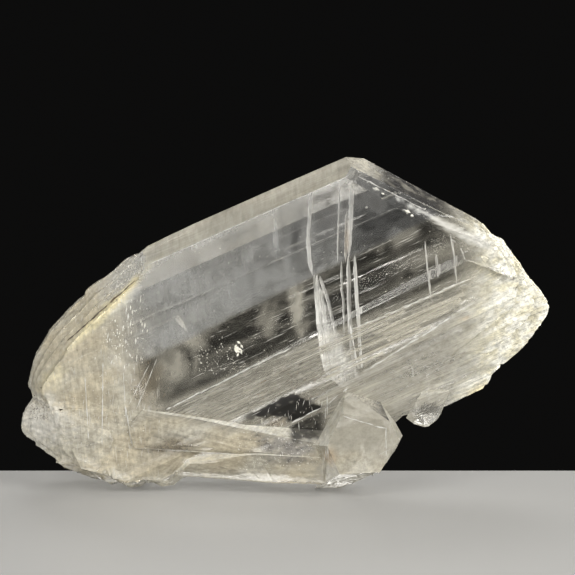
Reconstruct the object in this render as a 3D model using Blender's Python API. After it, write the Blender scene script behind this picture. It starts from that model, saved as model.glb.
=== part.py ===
"""A selenite (gypsum) crystal blade that stands on its broken lower edge.

The blade is a thick tablet with two broad cleavage faces. Its long edges follow the c axis and
carry steep prism faces, and the upper right end closes with a pair of oblique end faces. The left
and right ends are broken across the cleavage layers, so each layer stops at its own ragged line.
A second small crystal grew on the lower edge and is the right foot. X runs along the blade to the
right, Y goes back through its thickness and Z is up. The origin is the centre of the foot print.
"""

import math
import random

import bmesh
import bpy
from mathutils import Vector

MM = 0.001

# Directions in the plane of the broad faces, in degrees above +X
C_AXIS = 24.1
END_EDGE = -28.4  # 127.5 degrees from the c axis, the angle of gypsum
END_BEVEL_EDGE = -31.0
LOWER_END_EDGE = -31.0
STEP_EDGE = 28.5  # the ledge across the middle of the front
LEDGE_EDGE = 30.0  # the ledge below it

# How far each kind of face leans from the broad faces, in degrees
PRISM_LEAN = 55.75
END_LEAN = 71.9
END_BEVEL_LEAN = 38.0
VICINAL_LEAN = 9.5
STRIATED_LEAN = 25.0
STEP_LEAN = 48.0
BACK_STEP_LEAN = 50.0
BACK_STEP_TURN = 2.0  # how far the step on the back turns from the c axis

# Places in millimetres: x, z in the broad face and y through the thickness
APEX = (14.7, 74.4)
FRONT_Y = -7.5
BACK_Y = 13.7
PRISM_RIDGE_Y = -2.65
END_RIDGE_Y = 0.8
BLADE_WIDTH = 60.7
VICINAL_EDGE = 22.6  # distance of the back face's top from the upper long edge
BACK_STEP = 43.0  # distance of the step on the back from the upper long edge
LOWER_TOP = 16.0  # how far below the upper long edge the lower part starts, inside the upper one
END_BEVEL_POINT = (14.0, 69.6)
STEP_POINT = (0.0, 32.65)
LEDGE_POINT = (16.9, 27.5)
LOWER_FRONT_Y = -6.3
LOWER_BACK_Y = 12.4
LOWER_BACK_Z = 20.0  # the height at which the lower part's back lies at this depth
LOWER_RIDGE_Y = 1.7
LEDGE_Y = -5.9
INNER_END_INSET = 0.9  # how far the lower part's end faces lie behind the upper part's
INNER_END_RIDGE_Y = 2.3
LOWER_END_POINT = (-44.8, 3.9)
LOWER_END_RIDGE_Y = 1.5
LOWER_FRONT_SLOPE = (0.030, 0.025)  # how much deeper a face lies for each millimetre in x and in z
LOWER_BACK_SLOPE = (-0.02, 0.03)
BLOCK_SIZE = 260.0
GROUND = 0.0

# Corners of the silhouette that clear the long edges, where the crystal faces make the outline
CLEAR_UPPER_LEFT = [(16.0, 88.0), (-27.0, 66.0)]
CLEAR_UPPER_RIGHT = [(47.0, 68.0)]

# Broken outlines, x and z in millimetres, each run anticlockwise seen from the front
LEFT_END = [
    (-31.1, 53.6), (-34.2, 51.2), (-38.1, 47.9), (-41.8, 45.5), (-43.9, 44.0),
    (-43.6, 42.9), (-48.2, 38.5), (-52.1, 34.1), (-55.0, 29.0), (-56.6, 23.0),
    (-55.0, 20.3), (-57.5, 16.7), (-58.0, 13.6), (-57.0, 11.6),
]  # fmt: skip
FRONT_LEFT_END = [
    (-29.6, 54.2), (-31.2, 48.1), (-33.2, 45.8), (-40.5, 39.4), (-46.5, 33.5),
    (-51.0, 27.3), (-53.9, 23.3), (-51.5, 20.4), (-49.1, 15.9), (-48.0, 7.9),
]  # fmt: skip
BOTTOM = [
    (-40.6, 1.0), (-37.8, 0.9), (-36.0, 1.5), (-34.2, 0.4), (-31.8, 0.4),
    (-30.0, 1.5), (-28.2, 1.3), (-26.9, 0.5), (-24.2, 0.8), (-22.1, 2.5),
    (-18.2, 3.4), (-14.7, 4.2), (-13.0, 4.1), (-10.9, 2.5), (-7.3, 2.1),
    (-4.7, 1.5), (-0.9, 1.0), (4.5, 1.0), (7.7, 0.7), (10.0, 0.4),
]  # fmt: skip
LOWER_RIGHT = [
    (18.0, 8.0), (26.0, 16.0), (34.1, 17.4), (36.4, 17.6), (38.8, 19.0),
    (40.1, 18.7), (41.5, 19.3), (44.4, 22.0),
]  # fmt: skip
RIGHT_END = [
    (45.6, 24.6), (47.6, 26.9), (50.7, 29.6), (52.1, 30.9), (53.6, 32.6),
    (55.9, 36.0), (57.6, 38.4), (58.0, 40.2), (56.4, 43.0), (54.0, 45.6),
    (52.1, 48.4), (50.1, 51.2), (47.6, 54.9), (45.1, 56.6), (42.6, 59.6),
]  # fmt: skip
FRONT_RIGHT_END = [
    (30.0, 34.4), (36.7, 39.0), (43.6, 41.1), (47.5, 45.0), (50.0, 47.0),
    (47.5, 53.0), (43.6, 58.6),
]  # fmt: skip
FRONT_BOTTOM = [
    (-43.5, 4.6), (-38.6, 4.2), (-34.8, 2.7), (-30.4, 3.3), (-26.2, 2.7),
    (-22.6, 5.2), (-17.0, 7.0), (-12.5, 6.1), (-7.9, 4.2), (-1.5, 3.0),
    (5.5, 2.9), (10.5, 5.0), (20.0, 12.0), (25.0, 18.0),
]  # fmt: skip

# Where the back layers end, x and z in millimetres
BACK_LEFT_END = [
    (-27.0, 55.0), (-30.4, 49.2), (-36.0, 44.2), (-37.6, 40.6), (-45.0, 33.4),
    (-47.8, 27.2), (-52.4, 22.0), (-50.6, 18.4), (-53.0, 14.0), (-49.8, 7.4),
]  # fmt: skip
BACK_RIGHT_END = [
    (38.0, 23.0), (42.4, 28.6), (46.8, 32.0), (49.0, 37.0), (53.6, 40.4),
    (50.2, 45.6), (46.0, 49.6), (44.4, 54.0), (39.6, 60.6),
]  # fmt: skip
BACK_BOTTOM = [
    (-46.0, 6.2), (-40.2, 3.4), (-36.5, 1.0), (-26.5, 0.9), (-23.5, 5.0),
    (-14.5, 7.8), (-8.0, 5.0), (-3.5, 1.6), (6.0, 1.8), (12.0, 6.6),
    (22.0, 13.0), (30.0, 18.0),
]  # fmt: skip

# The ends break back in steps, layer by layer: how much of the way from the outline to the front
# or back run each step takes, and the depth that it starts from
FRONT_LEFT_STEPS = [(1.0, -4.8), (0.62, -3.7), (0.3, -1.2)]
FRONT_RIGHT_STEPS = [(1.0, -5.3), (0.58, -2.3), (0.24, 0.4)]
FRONT_BOTTOM_STEPS = [(1.0, -4.3), (0.5, -1.9)]
BACK_LEFT_STEPS = [(1.0, 11.7), (0.66, 9.8), (0.26, 5.2)]
BACK_RIGHT_STEPS = [(1.0, 10.1), (0.5, 8.9), (0.22, 6.3)]
BACK_BOTTOM_STEPS = [(1.0, 10.9), (0.5, 7.6)]
TOOTH = 2.3
ROUGHNESS = 0.22
BREAK_SEED = 11
FAR = 90.0
LEFT_FAR = [(-FAR, 0.0), (-FAR, FAR), (-24.0, FAR)]
RIGHT_FAR = [(40.0, FAR), (FAR, FAR), (FAR, 0.0)]
BELOW_FAR = [(30.0, -20.0), (-50.0, -20.0)]

# The foot crystal, the small clear bump and the splinters at the base, as the corners of convex lumps
FOOT_CRYSTAL = [
    (6.6, -1.4, -0.3), (11.6, -1.6, -0.3), (9.6, 7.0, -0.3), (8.4, -7.4, 2.1),
    (15.8, -7.6, 2.7), (20.9, -13.5, 6.3), (12.0, -14.5, 6.2), (9.4, -14.4, 12.4),
    (12.6, -13.7, 19.4), (22.8, -12.9, 17.6), (24.9, -12.6, 13.2), (22.9, -9.8, 7.6),
    (24.7, -9.4, 10.4), (25.8, -8.2, 13.4), (24.3, -7.0, 15.9), (13.4, -6.8, 23.0),
    (21.0, -4.0, 20.0), (15.5, 9.5, 6.0), (22.0, 6.5, 12.5), (19.0, 9.0, 18.0),
    (9.0, 10.0, 12.0), (6.8, -9.4, 11.6),
]  # fmt: skip
END_STRIP = [
    (26.4, -7.6, 62.2), (64.0, -7.6, 48.4), (27.0, -6.6, 57.0), (64.0, -6.6, 41.0),
    (27.4, -5.3, 65.4), (64.0, -4.9, 47.4), (30.0, 0.0, 60.0), (64.0, 0.0, 43.0),
]  # fmt: skip
CLEAR_BUMP = [
    (26.6, -3.6, 16.4), (28.3, -4.6, 15.3), (30.6, -4.0, 14.3), (31.7, -3.4, 14.2),
    (33.5, -2.6, 15.1), (34.5, -1.2, 16.6), (34.2, 0.0, 17.8), (29.6, 2.0, 16.4),
    (33.0, 2.4, 17.9), (29.0, -5.6, 21.0), (36.0, -3.4, 22.4), (31.0, 3.4, 22.0),
]  # fmt: skip
LEFT_WEDGE = [
    (-30.6, -8.3, 19.0), (-18.5, -8.9, 17.2), (-5.3, -9.3, 14.4), (10.6, -9.3, 11.2),
    (-33.8, -8.2, 15.2), (-32.4, -8.5, 10.7), (-21.8, -9.6, 11.6), (-15.8, -10.0, 12.6),
    (-6.0, -10.2, 10.2), (10.4, -9.8, 8.6), (-30.0, -2.0, 20.0), (10.0, -2.0, 13.0),
    (10.0, -2.0, 8.0), (-34.0, -2.0, 9.0),
]  # fmt: skip
BASE_RIDGE = [
    (-23.8, -7.0, 4.2), (-20.4, -9.2, 7.4), (-15.2, -9.8, 7.7), (-9.6, -10.5, 9.4),
    (-5.8, -10.7, 9.8), (9.6, -10.4, 8.8), (8.6, -8.0, 2.5), (-3.1, -8.4, 2.8),
    (-7.0, -8.6, 3.7), (-12.0, -8.4, 4.4), (-22.0, -1.0, 9.6), (9.0, -1.0, 10.0),
    (7.0, -0.6, 4.0), (-19.0, -0.6, 7.4),
]  # fmt: skip
CORNER_BLOCK = [
    (-55.6, -5.2, 17.0), (-56.4, -4.0, 13.2), (-50.0, -8.2, 19.4), (-47.4, -9.0, 13.4),
    (-44.0, -8.6, 6.2), (-49.8, -6.0, 8.2), (-38.4, -8.4, 4.6), (-37.0, -8.8, 12.6),
    (-40.0, -6.0, 19.0), (-54.0, 1.0, 16.0), (-40.0, 1.0, 4.0),
]  # fmt: skip
BACK_SPLINTER = [
    (-46.0, 9.5, 27.6), (-38.0, 14.2, 30.2), (-24.0, 14.5, 36.4), (-20.0, 10.0, 40.0),
    (-30.0, 14.4, 20.0), (-44.0, 11.0, 16.0), (-26.0, 10.0, 14.0), (-14.0, 12.0, 26.0),
]  # fmt: skip
LEFT_FOOT = [
    (-35.4, 2.2, -0.3), (-31.0, 1.6, -0.3), (-34.6, 9.4, -0.3), (-29.6, 10.2, -0.3),
    (-37.6, 0.4, 4.4), (-28.4, -0.6, 4.6), (-38.4, 10.2, 4.2), (-27.2, 11.6, 4.8),
    (-33.0, 5.0, 12.0),
]  # fmt: skip
BACK_FOOT = [
    (-4.6, 7.6, -0.3), (-2.6, 11.4, -0.3), (5.4, 11.0, -0.3), (7.2, 6.8, -0.3),
    (-6.6, 8.2, 4.8), (-4.2, 12.8, 6.0), (7.8, 12.2, 5.4), (10.4, 6.4, 5.0),
    (1.0, 9.0, 16.0),
]  # fmt: skip

# Long growth ridges: how many, and the ranges of their length, width and height in millimetres
FRONT_RIDGES = 9
BACK_RIDGES = 11
RIDGE_LENGTH = (14.0, 40.0)
RIDGE_WIDTH = (0.5, 1.5)
RIDGE_HEIGHT = (0.07, 0.2)
RIDGE_SEED = 23

# The bands of ridges: distances down from the upper long edge, and along the c axis from the apex
FRONT_BAND = (34.5, 42.5)
FRONT_REACH = (-34.0, 16.0)
FRONT_JITTER = (0.1, 0.6)  # where in its share of the band a ridge lies
FRONT_SINK = 0.1
BACK_BAND = (11.0, 43.0)
BACK_START = -44.0
BACK_JITTER = (0.1, 0.7)
END_RUN = 0.7  # how far the end edge runs along the c axis for each millimetre down, a little short
END_MARGIN = 6.0

# A ridge's crest: where it starts and stops along the ridge, and its share of the width
CREST_FROM = 0.12
CREST_TO = 0.86
CREST_WIDTH = 0.4
RIDGE_ROOT = 1.5  # how deep its root lies, as a share of its height

SELENITE_COLOUR = (0.86, 0.85, 0.79, 1.0)
SELENITE_IOR = 1.52
SELENITE_ROUGHNESS = 0.12

CUT_TOLERANCE = 1e-5  # in millimetres
WELD_DISTANCE = 1e-7  # in metres


def in_face(degrees):
    """The unit vector at this angle in the plane of the broad faces."""
    angle = math.radians(degrees)
    return Vector((math.cos(angle), 0.0, math.sin(angle)))


ALONG = in_face(C_AXIS)
DOWN = in_face(C_AXIS - 90.0)


def on_blade(along, down, y):
    """A point from its distances along the c axis and down from the apex, and its depth."""
    return Vector((APEX[0], y, APEX[1])) + along * ALONG + down * DOWN


def face_through(point, edge_degrees, y, lean, side, facing):
    """A crystal face through an edge of the blade, as a point and an outward normal.

    side is 1 for a face above the edge and -1 below it; facing is -1 for the front, 1 for the back.
    """
    outward = in_face(edge_degrees + 90.0 * side)
    tilt = math.radians(lean)
    normal = outward * math.sin(tilt) + Vector((0.0, facing * math.cos(tilt), 0.0))
    return Vector((point[0], y, point[1])), normal


def collection(name):
    made = bpy.data.collections.new(name)
    bpy.context.scene.collection.children.link(made)
    return made


def add_object(name, mesh, home, helper=True):
    obj = bpy.data.objects.new(name, mesh)
    home.objects.link(obj)
    if helper:
        obj.hide_render = True
        obj.display_type = "WIRE"
    return obj


def mesh_from(bm, name):
    """The shape as a mesh, brought from millimetres to metres."""
    bmesh.ops.scale(bm, vec=(MM, MM, MM), verts=bm.verts)
    bmesh.ops.recalc_face_normals(bm, faces=bm.faces)
    mesh = bpy.data.meshes.new(name)
    bm.to_mesh(mesh)
    bm.free()
    return mesh


def block_cut_by(name, faces, home):
    """A cube with everything outside the given crystal faces cut away."""
    bm = bmesh.new()
    bmesh.ops.create_cube(bm, size=BLOCK_SIZE)
    for point, normal in faces:
        cut = bmesh.ops.bisect_plane(
            bm,
            geom=bm.verts[:] + bm.edges[:] + bm.faces[:],
            dist=CUT_TOLERANCE,
            plane_co=point,
            plane_no=normal,
            clear_outer=True,
        )
        rim = [g for g in cut["geom_cut"] if isinstance(g, bmesh.types.BMEdge)]
        bmesh.ops.edgeloop_fill(bm, edges=rim)
    return add_object(name, mesh_from(bm, name), home)


def lump(name, corners, home):
    """The convex solid on these corners."""
    bm = bmesh.new()
    for corner in corners:
        bm.verts.new(corner)
    hull = bmesh.ops.convex_hull(bm, input=bm.verts)
    unused = {g for g in hull["geom_interior"] if isinstance(g, bmesh.types.BMVert)}
    bmesh.ops.delete(bm, geom=list(unused), context="VERTS")
    return add_object(name, mesh_from(bm, name), home)


def upper_blade(home):
    """The upper part of the blade, with the prism faces, the end faces and the front step."""
    front = (Vector((0.0, FRONT_Y, 0.0)), Vector((0.0, -1.0, 0.0)))
    back = (Vector((0.0, BACK_Y, 0.0)), Vector((0.0, 1.0, 0.0)))
    vicinal_top = on_blade(0.0, VICINAL_EDGE, BACK_Y)
    back_step = on_blade(0.0, BACK_STEP, BACK_Y)
    faces = [
        front,
        back,
        face_through(APEX, C_AXIS, PRISM_RIDGE_Y, PRISM_LEAN, 1, -1),
        face_through(APEX, C_AXIS, PRISM_RIDGE_Y, PRISM_LEAN, 1, 1),
        face_through((vicinal_top.x, vicinal_top.z), C_AXIS, BACK_Y, VICINAL_LEAN, 1, 1),
        face_through(APEX, END_EDGE, END_RIDGE_Y, END_LEAN, 1, -1),
        face_through(APEX, END_EDGE, END_RIDGE_Y, END_LEAN, 1, 1),
        face_through(END_BEVEL_POINT, END_BEVEL_EDGE, FRONT_Y, END_BEVEL_LEAN, 1, -1),
        face_through(STEP_POINT, STEP_EDGE, FRONT_Y, STEP_LEAN, -1, -1),
        face_through((back_step.x, back_step.z), C_AXIS + BACK_STEP_TURN, BACK_Y, BACK_STEP_LEAN, -1, 1),
    ]
    return block_cut_by("upper_blade", faces, home)


def sloping(slope, facing):
    """The outward direction of a broad face that lies deeper by this slope in x and in z."""
    return Vector((-slope[0] * facing, facing, -slope[1] * facing)).normalized()


def lower_blade(home):
    """The lower part, set back from the step, with the striated slope and the lower long edge."""
    lower_edge = on_blade(0.0, BLADE_WIDTH, LOWER_RIDGE_Y)
    hidden_top = on_blade(0.0, LOWER_TOP, 0.0)
    end_inset = Vector((APEX[0], 0.0, APEX[1])) - in_face(END_EDGE + 90.0) * INNER_END_INSET
    inner_end = (end_inset.x, end_inset.z)
    faces = [
        (Vector((STEP_POINT[0], LOWER_FRONT_Y, STEP_POINT[1])), sloping(LOWER_FRONT_SLOPE, -1.0)),
        (Vector((0.0, LOWER_BACK_Y, LOWER_BACK_Z)), sloping(LOWER_BACK_SLOPE, 1.0)),
        face_through(LEDGE_POINT, LEDGE_EDGE, LEDGE_Y, STRIATED_LEAN, -1, -1),
        face_through((lower_edge.x, lower_edge.z), C_AXIS, LOWER_RIDGE_Y, PRISM_LEAN, -1, -1),
        face_through((lower_edge.x, lower_edge.z), C_AXIS, LOWER_RIDGE_Y, PRISM_LEAN, -1, 1),
        face_through((hidden_top.x, hidden_top.z), C_AXIS, 0.0, 90.0, 1, -1),
        face_through(inner_end, END_EDGE, INNER_END_RIDGE_Y, END_LEAN, 1, -1),
        face_through(inner_end, END_EDGE, INNER_END_RIDGE_Y, END_LEAN, 1, 1),
        face_through(LOWER_END_POINT, LOWER_END_EDGE, LOWER_END_RIDGE_Y, END_LEAN, -1, -1),
        face_through(LOWER_END_POINT, LOWER_END_EDGE, LOWER_END_RIDGE_Y, END_LEAN, -1, 1),
    ]
    return block_cut_by("lower_blade", faces, home)


def spaced(run, count):
    """This many points at even steps along the run."""
    lengths = [math.dist(p, q) for p, q in zip(run, run[1:])]
    points = []
    for number in range(count):
        left = sum(lengths) * number / (count - 1)
        for (p, q), length in zip(zip(run, run[1:]), lengths):
            if left <= length or q == run[-1]:
                share = min(1.0, left / length)
                points.append((p[0] + (q[0] - p[0]) * share, p[1] + (q[1] - p[1]) * share))
                break
            left -= length
    return points


def broken(outer, inner, share, rng):
    """A ragged run between two runs, with small steps along the c axis as cleaved layers break."""
    count = 2 + round(sum(math.dist(p, q) for p, q in zip(outer, outer[1:])) / TOOTH)
    ragged = []
    for (x0, z0), (x1, z1) in zip(spaced(outer, count), spaced(inner, count)):
        push = rng.uniform(-ROUGHNESS, ROUGHNESS)
        x = x0 + (x1 - x0) * share + ALONG.x * push
        z = z0 + (z1 - z0) * share + ALONG.z * push
        ragged.append((x, z))
    return ragged


def slab(name, outline, y_from, y_to, home):
    """A flat outline in the plane of the broad faces, given its thickness."""
    curve = bpy.data.curves.new(name, "CURVE")
    curve.dimensions = "2D"
    curve.fill_mode = "BOTH"
    curve.extrude = (y_to - y_from) / 2 * MM
    spline = curve.splines.new("POLY")
    spline.points.add(len(outline) - 1)
    for point, (x, z) in zip(spline.points, outline):
        point.co = (x * MM, z * MM, 0.0, 1.0)
    spline.use_cyclic_u = True
    flat = bpy.data.objects.new(name + "_outline", curve)
    home.objects.link(flat)
    flat.location.y = (y_from + y_to) / 2 * MM
    flat.rotation_euler.x = math.pi / 2
    bpy.context.view_layer.update()
    graph = bpy.context.evaluated_depsgraph_get()
    mesh = bpy.data.meshes.new_from_object(flat.evaluated_get(graph))
    bm = bmesh.new()
    bm.from_mesh(mesh)
    bmesh.ops.remove_doubles(bm, verts=bm.verts, dist=WELD_DISTANCE)
    bmesh.ops.transform(bm, matrix=flat.matrix_world, verts=bm.verts)
    bmesh.ops.recalc_face_normals(bm, faces=bm.faces)
    bm.to_mesh(mesh)
    bm.free()
    bpy.data.objects.remove(flat)
    return add_object(name, mesh, home)


def silhouette(home):
    """The broken outline through the full thickness. Its long edges clear the crystal faces."""
    outline = CLEAR_UPPER_LEFT + LEFT_END + BOTTOM + LOWER_RIGHT + RIGHT_END + CLEAR_UPPER_RIGHT
    return slab("silhouette", outline, -FAR, FAR, home)


def step_back(name, outer, inner, far_corners, steps, facing, rng, home):
    """What has broken away beyond the outline of each layer, from the given depth outwards."""
    for number, (share, depth) in enumerate(steps):
        reach = facing * (FAR + number)
        outline = broken(outer, inner, share, rng)
        outline += [(x + number, z + number) for x, z in far_corners]
        y_from, y_to = sorted((depth, reach))
        slab(f"{name}_{number}", outline, y_from, y_to, home)


def broken_ends(home):
    """The parts that broke away in front and behind, at the left end, the right end and below."""
    rng = random.Random(BREAK_SEED)
    base = BOTTOM + LOWER_RIGHT[:2]
    for name, outer, inner, far_corners, steps, facing in (
        ("front_left", LEFT_END, FRONT_LEFT_END, LEFT_FAR, FRONT_LEFT_STEPS, -1),
        ("front_right", RIGHT_END, FRONT_RIGHT_END, RIGHT_FAR, FRONT_RIGHT_STEPS, -1),
        ("front_below", base, FRONT_BOTTOM, BELOW_FAR, FRONT_BOTTOM_STEPS, -1),
        ("back_left", LEFT_END, BACK_LEFT_END, LEFT_FAR, BACK_LEFT_STEPS, 1),
        ("back_right", RIGHT_END, BACK_RIGHT_END, RIGHT_FAR, BACK_RIGHT_STEPS, 1),
        ("back_below", base, BACK_BOTTOM, BELOW_FAR, BACK_BOTTOM_STEPS, 1),
    ):
        step_back(name, outer, inner, far_corners, steps, facing, rng, home)


def ridge(name, along, down, y, length, width, height, home):
    """A low growth ridge that follows the c axis: a bar with a sloped crest and pointed ends."""
    corners = []
    for root, crest in ((0.0, CREST_FROM), (1.0, CREST_TO)):
        for side in (-0.5, 0.5):
            across = width * side
            corners.append(on_blade(along + length * root, down + across, y + height * RIDGE_ROOT))
            corners.append(on_blade(along + length * crest, down + across * CREST_WIDTH, y - height))
    return lump(name, corners, home)


def growth_ridges(home):
    """Ridges on the striated lower front and on the sloping top of the back."""
    rng = random.Random(RIDGE_SEED)
    top, bottom = FRONT_BAND
    for number in range(FRONT_RIDGES):
        down = top + (bottom - top) * (number + rng.uniform(*FRONT_JITTER)) / FRONT_RIDGES
        length = rng.uniform(*RIDGE_LENGTH)
        along = rng.uniform(FRONT_REACH[0], FRONT_REACH[1] - length)
        start = on_blade(along, down, 0.0)
        deeper = LOWER_FRONT_SLOPE[0] * start.x + LOWER_FRONT_SLOPE[1] * (start.z - STEP_POINT[1])
        y = LOWER_FRONT_Y + deeper + FRONT_SINK
        width = rng.uniform(*RIDGE_WIDTH)
        ridge(f"front_ridge_{number}", along, down, y, length, width, rng.uniform(*RIDGE_HEIGHT), home)
    slope = math.tan(math.radians(VICINAL_LEAN))
    top, bottom = BACK_BAND
    for number in range(BACK_RIDGES):
        down = top + (bottom - top) * (number + rng.uniform(*BACK_JITTER)) / BACK_RIDGES
        length = rng.uniform(*RIDGE_LENGTH)
        along = rng.uniform(BACK_START, END_RUN * down - END_MARGIN - length)
        y = BACK_Y - max(0.0, VICINAL_EDGE - down) * slope
        width = rng.uniform(*RIDGE_WIDTH)
        ridge(f"back_ridge_{number}", along, down, y, length, width, -rng.uniform(*RIDGE_HEIGHT), home)


def combine(target, helper, operation):
    """Join, cut or trim the target with an object, or with everything in a collection."""
    boolean = target.modifiers.new(helper.name, "BOOLEAN")
    boolean.operation = operation
    boolean.solver = "EXACT"
    if isinstance(helper, bpy.types.Collection):
        boolean.operand_type = "COLLECTION"
        boolean.collection = helper
    else:
        boolean.object = helper


def selenite():
    material = bpy.data.materials.new("selenite")
    material.use_nodes = True
    shader = material.node_tree.nodes["Principled BSDF"]
    shader.inputs["Base Color"].default_value = SELENITE_COLOUR
    shader.inputs["Metallic"].default_value = 0.0
    shader.inputs["Roughness"].default_value = SELENITE_ROUGHNESS
    shader.inputs["IOR"].default_value = SELENITE_IOR
    shader.inputs["Transmission Weight"].default_value = 1.0
    return material


def main():
    for obj in list(bpy.data.objects):
        bpy.data.objects.remove(obj)
    crystal = collection("selenite_crystal_blade")
    helpers = collection("helpers")
    grown = collection("grown_on_the_blade")
    broken_off = collection("broken_off")
    lumps = collection("lumps")

    blade = add_object("crystal_blade", upper_blade(helpers).data, crystal, helper=False)
    bpy.data.objects.remove(bpy.data.objects["upper_blade"])
    blade.data.materials.append(selenite())
    lower_blade(grown)
    lump("end_strip", END_STRIP, grown)
    growth_ridges(grown)
    combine(blade, grown, "UNION")
    combine(blade, silhouette(helpers), "INTERSECT")
    broken_ends(broken_off)
    combine(blade, broken_off, "DIFFERENCE")
    for name, corners in (
        ("foot_crystal", FOOT_CRYSTAL),
        ("clear_bump", CLEAR_BUMP),
        ("left_wedge", LEFT_WEDGE),
        ("base_ridge", BASE_RIDGE),
        ("corner_block", CORNER_BLOCK),
        ("back_splinter", BACK_SPLINTER),
        ("left_foot", LEFT_FOOT),
        ("back_foot", BACK_FOOT),
    ):
        lump(name, corners, lumps)
    combine(blade, lumps, "UNION")
    above_ground = (Vector((0.0, 0.0, GROUND)), Vector((0.0, 0.0, 1.0)))
    combine(blade, block_cut_by("ground", [above_ground], helpers), "DIFFERENCE")


main()
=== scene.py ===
"""The looks of the selenite blade: clear glassy crystal, milky skin, feathers, needles and rough ends."""

import math
import random

import bmesh
import bpy
import numpy as np
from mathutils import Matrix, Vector, noise
from mathutils.bvhtree import BVHTree


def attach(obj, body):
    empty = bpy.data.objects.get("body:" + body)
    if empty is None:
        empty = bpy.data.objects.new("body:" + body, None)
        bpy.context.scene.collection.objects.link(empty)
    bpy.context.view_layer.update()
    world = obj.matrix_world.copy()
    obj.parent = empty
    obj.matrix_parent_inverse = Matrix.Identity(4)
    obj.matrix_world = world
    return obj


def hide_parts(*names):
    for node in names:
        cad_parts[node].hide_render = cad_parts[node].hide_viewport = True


MM = 0.001

# The crystal's form. Lengths are in millimetres and angles in degrees above +X, seen from the front.
IOR = 1.52
C_AXIS = 24.1  # direction of the long edges
END_EDGE = -28.4
LOWER_END_EDGE = -31
PRISM_LEAN = 55.75  # from the broad face
END_LEAN = 71.9
APEX = (14.7, 74.4)  # where the upper long edge meets the end edge
FRONT = -7.5  # depth of the front broad face
LIFT = 0.115  # how much higher a place looks through the front face, for each mm behind it
SKIN_GAP = 0.05  # how far the clear crystal lies under its milky skin
SAME_WAY = 0.985  # faces whose directions agree this well are the same crystal face
WALL_LIMIT = 0.4  # broken walls face less than this much to the front or the back

# Lines that part the zones, each as a point on it and its angle.
MILKY_EDGE = (0.2, 45.2, 26.9)  # the lower limit of the milky upper part
STRIATED_EDGE = (16.7, 39.2, 23.9)  # the upper limit of the striated lower part
LEDGE_EDGE = (16.9, 27.5, 32)
WEDGE_EDGE = (-11.9, 15.3, -11)  # the top of the broken wedge along the base
CLEAR_LIMIT = (16.7, 39.2, C_AXIS)
NEEDLE_LIMIT = (16.7, 38.5, C_AXIS)
MARK_LIMIT = (16.7, 37.5, C_AXIS)
COMB_LIMIT = (9, 19.2, -26)

# Mesh detail: edge lengths in millimetres.
GRAIN = 0.6  # on the rough ends
SMOOTH_GRAIN = 9  # on the clean faces
SKIN_GRAIN = 1.05  # for the skin's clouds
PAINTED_DARK_GRAIN = 0.45  # round the painted dark windows near the base
BACK_GRAIN = 2.6
MOST_SPLITS = 9
WEAR_STEPS = 9
DEEPEST_WEAR = 1.4
BROKEN_LEFT = -36  # left of here the stepped layers are rounded off

# The view and the light, in metres, degrees and watts.
CAMERA_PLACE = (0.00077, -1.0008, 0.2211)
CAMERA_PITCH = 80
SENSOR = 36
LENS = SENSOR * 4670 / 575
LIGHTS = [  # name, place, aim, width, height, power
    ("key", (-0.45, -0.85, 0.55), (0, 0, 0.03), 0.7, 0.5, 7.2),
    ("fill", (0.45, -0.45, 0.3), (0.03, 0, 0.03), 0.4, 0.4, 3.8),
    ("rim", (0.1, 0.75, 0.8), (0, 0, 0.03), 0.8, 0.4, 3),
]
LAMP_COLOUR = (1, 0.985, 0.955)
DOME_COLOUR = (1, 0.985, 0.96, 1)
DOME_FADE = {"From Min": 0.16, "From Max": 0.62, "To Min": 0.004, "To Max": 0.3}
FLOOR_SIZE = (0.26, 0.14, 0.006)
FLOOR_PLACE = (0, -0.051, -0.003)
FLOOR_ROUNDING = 0.0012
FLOOR_COLOUR = (0.45, 0.447, 0.435)

# The clear crystal.
CLEAR = (0.98, 0.975, 0.95)
ABSORPTION_COLOUR = (0.90, 0.87, 0.78, 1)
ABSORPTION_DENSITY = 2

# The skin's colours.
BONE = (0.70, 0.665, 0.56)
DULL_BONE = (0.50, 0.47, 0.385)
TAN = (0.56, 0.48, 0.33)
BROWN = (0.34, 0.28, 0.19)
GREY = (0.30, 0.285, 0.28)
CREAM = (0.80, 0.755, 0.58)
BLEACHED = (0.99, 0.975, 0.88)
WORN_WALL = (0.42, 0.385, 0.30)
COOL_GREY = (0.50, 0.503, 0.49)
YELLOW = (0.90, 0.80, 0.50)
RUST = (0.62, 0.44, 0.27)
# Painted shade on the end faces.
END_PAINTED_SHADE = (0.022, 0.02, 0.018)
CHALK = (0.88, 0.87, 0.82)
PALE_CORNER = (0.84, 0.825, 0.77)
# Painted shade: dark patches in the clear upper part.
PAINTED_SHADE = (0.055, 0.052, 0.048)
# Painted dark: the view through the clear crystal near the base, painted in near black.
PAINTED_DARK = (0.012, 0.011, 0.010)

# The colours of the slivers and the cracks.
# The needles and the painted glints share these whites.
NEEDLE_AND_GLINT_COLOURS = ((0.93, 0.92, 0.88), (0.84, 0.83, 0.79))
SPECK_COLOURS = ((0.95, 0.94, 0.90), (0.90, 0.88, 0.80))
MARK_COLOURS = ((0.10, 0.09, 0.08), (0.22, 0.17, 0.12))
FEATHER_WHITE = (0.95, 0.945, 0.92)
FEATHER_STAIN = (0.80, 0.55, 0.28)

# How much a border follows the patchy, the thready and the ragged noise.
EVEN = (0, 0, 0)
PATCHY = (1, 0, 0)
THREADY = (0, 1, 0)
RAGGED = (0, 0, 1)

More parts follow.
